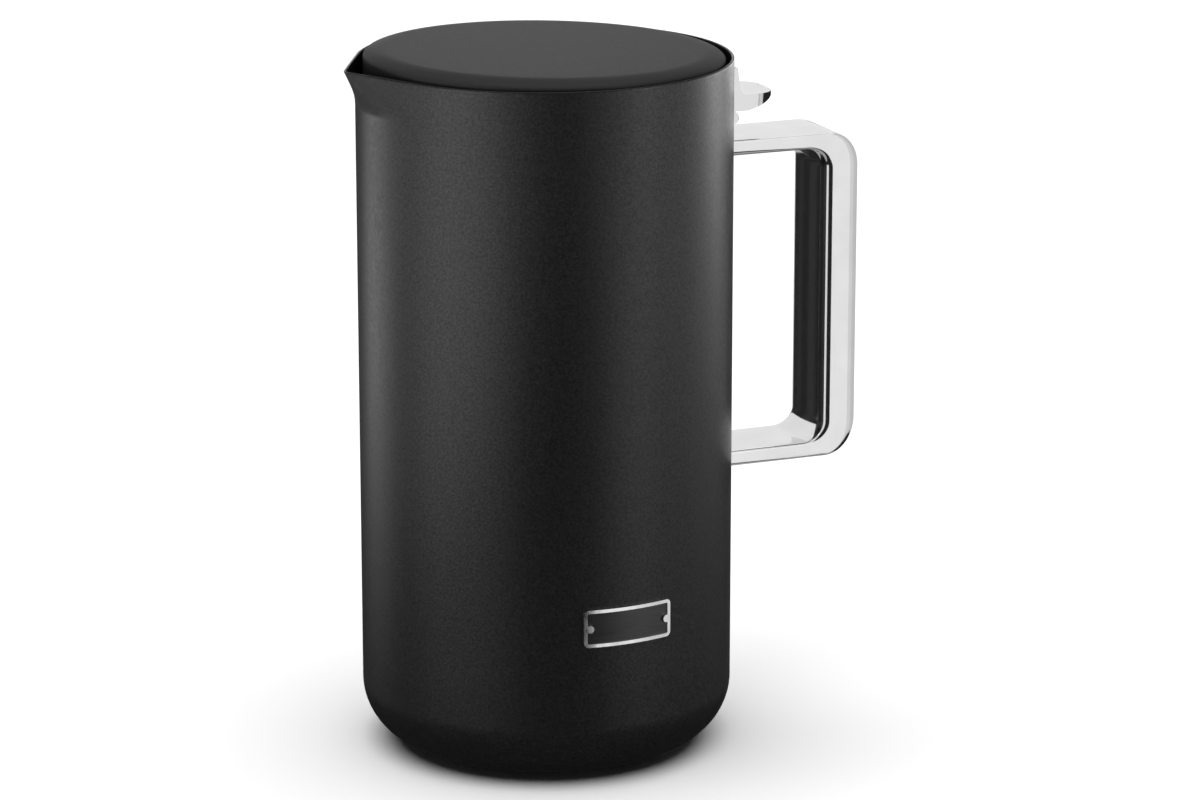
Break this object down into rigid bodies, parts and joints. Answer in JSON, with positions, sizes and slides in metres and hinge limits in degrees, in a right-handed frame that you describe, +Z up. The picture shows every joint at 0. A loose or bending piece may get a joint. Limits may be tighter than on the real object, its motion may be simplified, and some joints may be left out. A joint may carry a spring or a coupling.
{
  "type": "insulated french press",
  "caption": "Double-walled press jug with a D handle, V spout, flush press head on a rod with a filter stack, and a thumb lever that slides a pour gate in the lid.",
  "frame": {"origin": "centre of the jug's base, on the surface it stands on", "axes": "+Z up along the jug's axis, handle along +X, spout along -X, badge facing -Y"},
  "size_m": [0.1585, 0.1109, 0.2092],
  "materials": {
    "black_powder_coat": "matte black powder coat with a fine grain",
    "black_head": "matte black moulded plastic",
    "lid_plastic": "matte black moulded plastic",
    "bushing_plastic": "pale acetal",
    "brushed_liner": "brushed stainless steel",
    "polished_handle": "mirror-polished cast steel",
    "polished_rod": "polished stainless steel",
    "screw_steel": "plain stainless screws",
    "spring_steel": "drawn spring wire",
    "mesh_steel": "fine woven wire screen",
    "badge_bright": "bright satin border",
    "badge_dark": "dark finely lined plate, blank",
    "silicone": "matte black silicone"
  },
  "bodies": {
    "jug": {"outer_shell": "black_powder_coat", "inner_liner": "brushed_liner", "base_plate": "brushed_liner", "vacuum_seal": "brushed_liner", "getter_capsule": "brushed_liner", "foot_pad": "silicone", "handle": "polished_handle", "handle_studs": "brushed_liner", "handle_screws": "screw_steel", "badge_frame": "badge_bright", "badge_field": "badge_dark", "badge_pins": "badge_bright", "hinge_ears": "polished_handle", "hinge_pin": "polished_handle", "lever_spring": "spring_steel"},
    "lever": {"thumb_lever": "polished_handle"},
    "lid": {"lid_body": "lid_plastic", "lid_gasket": "silicone", "guide_bushing": "bushing_plastic", "pour_strainer": "brushed_liner", "gate_rails": "brushed_liner", "rail_screws": "screw_steel", "gate_spring": "spring_steel"},
    "gate": {"pour_gate": "brushed_liner", "gate_seal": "silicone"},
    "plunger": {"press_head": "black_head", "head_core": "lid_plastic", "head_screws": "screw_steel", "plunger_rod": "polished_rod", "rod_collar": "polished_rod", "spiral_plate": "brushed_liner", "edge_spring": "spring_steel", "mesh_screen": "mesh_steel", "cross_plate": "brushed_liner", "filter_nut": "polished_rod"}
  },
  "joints": [
    {"name": "lever_press", "type": "hinge", "parent": "jug", "child": "lever", "pos_m": [0.05715, 0, 0.1845], "axis": [0, 1, 0], "range_deg": [0, 11.51], "stiffness_Nm_per_rad": 0.12, "springref_deg": -2.86, "deforming": ["lever_spring"]},
    {"name": "lid_lift", "type": "slide", "parent": "jug", "child": "lid", "axis": [0, 0, 1], "range_m": [0, 0.18]},
    {"name": "gate_slide", "type": "slide", "parent": "lid", "child": "gate", "axis": [1, 0, 0], "range_m": [0, 0.0018], "deforming": ["gate_spring"]},
    {"name": "plunger_pull", "type": "slide", "parent": "lid", "child": "plunger", "axis": [0, 0, 1], "range_m": [0, 0.13]}
  ],
  "couplings": [
    {"joint": "lever_press", "follows": "gate_slide", "rad_per_m": 111.51}
  ]
}
